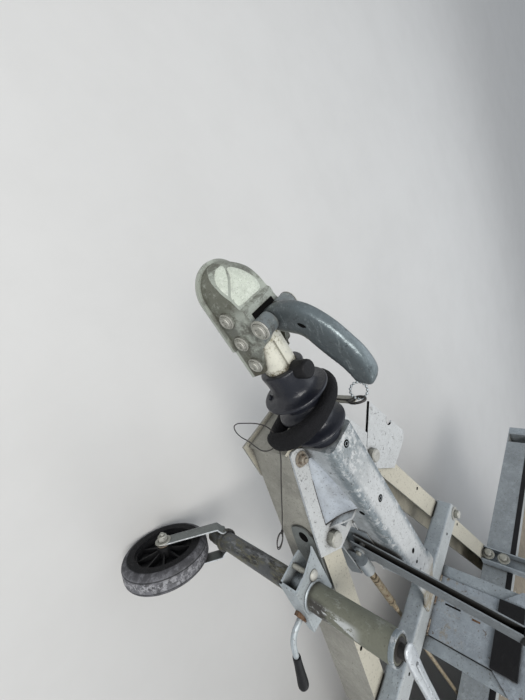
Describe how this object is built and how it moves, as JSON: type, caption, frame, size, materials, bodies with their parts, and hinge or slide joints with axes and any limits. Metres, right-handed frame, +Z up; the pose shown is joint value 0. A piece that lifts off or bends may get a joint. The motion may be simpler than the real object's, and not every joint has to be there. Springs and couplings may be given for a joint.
{
  "type": "braked flatbed car trailer",
  "caption": "Towed flatbed trailer with an overrun coupling, V drawbar, jockey wheel, handbrake, winch post, tandem axles outside a low bed, mudguards and stowed ramps.",
  "frame": {"origin": "on the ground under the middle of the trailer's overall box", "axes": "+X to the trailer's left, +Y from the coupling to the tail, +Z up"},
  "size_m": [2.375, 5.493, 1.08],
  "materials": {
    "galvanised": "galvanised, spangled and dusty",
    "coupling_paint": "worn grey-green paint",
    "handle_grey": "satin grey, scuffed",
    "white_paint": "dirty cream paint",
    "zinc_bolt": "zinc plated",
    "worn_steel": "dull and stained",
    "rusty_steel": "rusty",
    "dusty_grey": "matt and dusty",
    "axle_grey": "galvanised, matt",
    "black_rubber": "matt",
    "solid_rubber": "matt, scuffed",
    "black_plastic": "matt",
    "road_tyre": "matt",
    "rim_silver": "silver paint",
    "deck_board": "weathered plywood",
    "lamp_red": "clear red plastic",
    "ramp_aluminium": "mill finish"
  },
  "bodies": {
    "trailer": {"coupling_head": "coupling_paint", "coupling_pins": "zinc_bolt", "drawtube": "white_paint", "bellows": "black_rubber", "bellows_ring": "black_rubber", "grease_cap": "black_plastic", "overrun_housing": "galvanised", "drawbar_left": "galvanised", "drawbar_right": "galvanised", "nose_plate": "galvanised", "cross_member": "galvanised", "post_struts": "galvanised", "corner_posts": "galvanised", "winch_post": "galvanised", "winch_pad": "black_plastic", "winch_frame": "zinc_bolt", "winch_drum": "zinc_bolt", "stake_left": "galvanised", "stake_right": "galvanised", "front_rail": "galvanised", "handbrake_bracket": "zinc_bolt", "brake_rod": "rusty_steel", "jockey_clamp": "galvanised", "jockey_outer": "dusty_grey", "jockey_crank": "zinc_bolt", "bed_side_left": "galvanised", "bed_side_right": "galvanised", "bed_front": "galvanised", "bed_rear": "galvanised", "cross_bearers": "galvanised", "deck": "deck_board", "rail_left": "galvanised", "rail_right": "galvanised", "subframe": "galvanised", "axle_front": "axle_grey", "axle_rear": "axle_grey", "mudguard_left": "galvanised", "mudguard_right": "galvanised", "lamp_board": "galvanised", "rear_lamps": "lamp_red", "ramps": "ramp_aluminium", "ramp_runners": "galvanised"},
    "handle": {"coupling_handle": "handle_grey"},
    "handbrake": {"handbrake_lever": "galvanised"},
    "jockey_leg": {"jockey_inner": "worn_steel"},
    "jockey_caster": {"jockey_fork": "galvanised"},
    "jockey_wheel": {"jockey_hub": "black_plastic", "jockey_tyre": "solid_rubber"},
    "wheel_front_left": {"rim_front_left": "rim_silver", "tyre_front_left": "road_tyre"},
    "wheel_front_right": {"rim_front_right": "rim_silver", "tyre_front_right": "road_tyre"},
    "wheel_rear_left": {"rim_rear_left": "rim_silver", "tyre_rear_left": "road_tyre"},
    "wheel_rear_right": {"rim_rear_right": "rim_silver", "tyre_rear_right": "road_tyre"}
  },
  "joints": [
    {"name": "handle_hinge", "type": "hinge", "parent": "trailer", "child": "handle", "pos_m": [0, -2.6415, 0.54], "axis": [1, 0, 0], "range_deg": [0, 30]},
    {"name": "handbrake_hinge", "type": "hinge", "parent": "trailer", "child": "handbrake", "pos_m": [0.055, -2.0855, 0.462], "axis": [1, 0, 0], "range_deg": [0, 70]},
    {"name": "jockey_lift", "type": "slide", "parent": "trailer", "child": "jockey_leg", "axis": [0, 0, 1], "range_m": [-0.04, 0.12]},
    {"name": "jockey_swivel", "type": "hinge", "parent": "jockey_leg", "child": "jockey_caster", "pos_m": [0.195, -2.1615, 0.165], "axis": [0, 0, 1], "continuous": true},
    {"name": "jockey_roll", "type": "hinge", "parent": "jockey_caster", "child": "jockey_wheel", "pos_m": [0.30095, -2.21784, 0.1], "axis": [0.4695, 0.8829, 0], "continuous": true},
    {"name": "wheel_front_left_roll", "type": "hinge", "parent": "trailer", "child": "wheel_front_left", "pos_m": [1.085, 0.6005, 0.288], "axis": [1, 0, 0], "continuous": true},
    {"name": "wheel_front_right_roll", "type": "hinge", "parent": "trailer", "child": "wheel_front_right", "pos_m": [-1.085, 0.6005, 0.288], "axis": [1, 0, 0], "continuous": true},
    {"name": "wheel_rear_left_roll", "type": "hinge", "parent": "trailer", "child": "wheel_rear_left", "pos_m": [1.085, 1.3405, 0.288], "axis": [1, 0, 0], "continuous": true},
    {"name": "wheel_rear_right_roll", "type": "hinge", "parent": "trailer", "child": "wheel_rear_right", "pos_m": [-1.085, 1.3405, 0.288], "axis": [1, 0, 0], "continuous": true}
  ]
}
